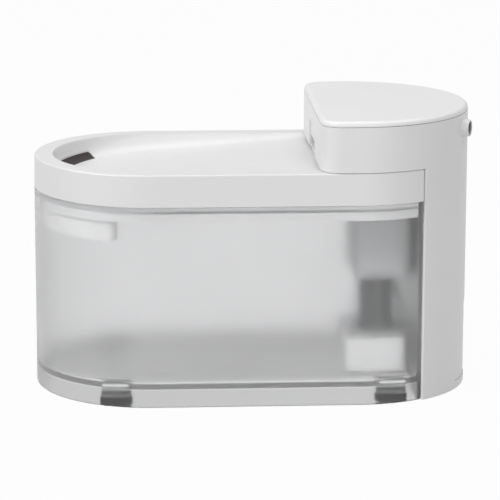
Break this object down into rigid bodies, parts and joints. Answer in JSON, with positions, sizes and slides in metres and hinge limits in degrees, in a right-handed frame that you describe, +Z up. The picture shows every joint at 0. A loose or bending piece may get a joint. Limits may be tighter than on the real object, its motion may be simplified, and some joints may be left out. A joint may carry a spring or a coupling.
{
  "type": "pet water fountain",
  "caption": "Cordless pet water fountain: frosted tank, sloped drinking tray with a crescent drain, and a battery column whose tower pours water into the tray.",
  "frame": {"origin": "middle of the stadium-shaped outline, on the surface that the fountain stands on", "axes": "+X along the length towards the column and tower, +Y to the far side, +Z up"},
  "size_m": [0.2702, 0.144, 0.1779],
  "materials": {
    "white_plastic": "satin moulded, warm white",
    "tray_plastic": "satin moulded, warm white",
    "lid_plastic": "satin moulded, warm white",
    "frosted_plastic": "frosted translucent",
    "clear_plastic": "clear, lightly hazed",
    "basket_plastic": "satin moulded",
    "pump_plastic": "satin moulded",
    "dark_plastic": "satin black",
    "black_rubber": "matt",
    "clear_silicone": "soft, translucent",
    "grey_seal": "matt",
    "dark_screen": "fine mesh",
    "dark_foam": "open foam",
    "filter_felt": "felt over granules",
    "ceramic": "polished",
    "magnet": "ferrite",
    "steel": "bright",
    "copper_coil": "wound wire",
    "light_pipe": "clear",
    "button_black": "glossy",
    "battery_wrap": "shrink wrap",
    "circuit_board": "solder mask"
  },
  "bodies": {
    "tank": {"tank": "frosted_plastic", "tank_feet": "black_rubber"},
    "pump": {"pump_housing": "pump_plastic", "pump_base": "pump_plastic", "pump_pads": "clear_silicone", "pump_foam": "dark_foam", "pump_volute": "pump_plastic", "pump_shroud": "clear_plastic", "motor_can": "dark_plastic", "shaft_bushes": "ceramic", "receiver_coil": "copper_coil", "riser_tube": "clear_plastic"},
    "rotor": {"impeller": "pump_plastic", "rotor_magnet": "magnet", "rotor_shaft": "steel"},
    "tray": {"drinking_tray": "tray_plastic", "tray_seal": "clear_silicone", "drain_screen": "dark_screen", "riser_seal": "clear_silicone"},
    "basket": {"filter_basket": "basket_plastic", "filter_pad": "filter_felt"},
    "housing": {"housing": "white_plastic", "tower_lid": "lid_plastic", "lid_gasket": "grey_seal", "outlet_spout": "white_plastic", "indicator_light": "light_pipe", "button_collar": "white_plastic", "button_switch": "dark_plastic", "base_plate": "white_plastic", "base_screws": "steel", "column_pads": "black_rubber", "battery_frame": "dark_plastic", "battery_cells": "battery_wrap", "control_board": "circuit_board", "power_coil": "copper_coil", "charging_socket": "dark_plastic"},
    "button": {"mode_button": "button_black"},
    "rear_cover": {"rear_cover": "white_plastic"}
  },
  "joints": [
    {"name": "housing_lift", "type": "slide", "parent": "tank", "child": "housing", "axis": [0, 0, 1], "range_m": [0, 0.48]},
    {"name": "tray_lift", "type": "slide", "parent": "tank", "child": "tray", "axis": [0, 0, 1], "range_m": [0, 0.32]},
    {"name": "pump_lift", "type": "slide", "parent": "tank", "child": "pump", "axis": [0, 0, 1], "range_m": [0, 0.16]},
    {"name": "impeller_spin", "type": "hinge", "parent": "pump", "child": "rotor", "pos_m": [0.0765, -0.02, 0.03], "axis": [0, 0, 1], "continuous": true},
    {"name": "basket_drop", "type": "slide", "parent": "tray", "child": "basket", "axis": [0, 0, -1], "range_m": [0, 0.05]},
    {"name": "button_press", "type": "slide", "parent": "housing", "child": "button", "axis": [-0.9272, 0.3746, 0], "range_m": [0, 0.001], "stiffness_N_per_m": 600},
    {"name": "rear_cover_pull", "type": "slide", "parent": "housing", "child": "rear_cover", "axis": [1, 0, 0], "range_m": [0, 0.05]}
  ],
  "couplings": [
    {"joint": "tray_lift", "follows": "housing_lift", "ratio": 0.66667},
    {"joint": "pump_lift", "follows": "housing_lift", "ratio": 0.33333}
  ]
}
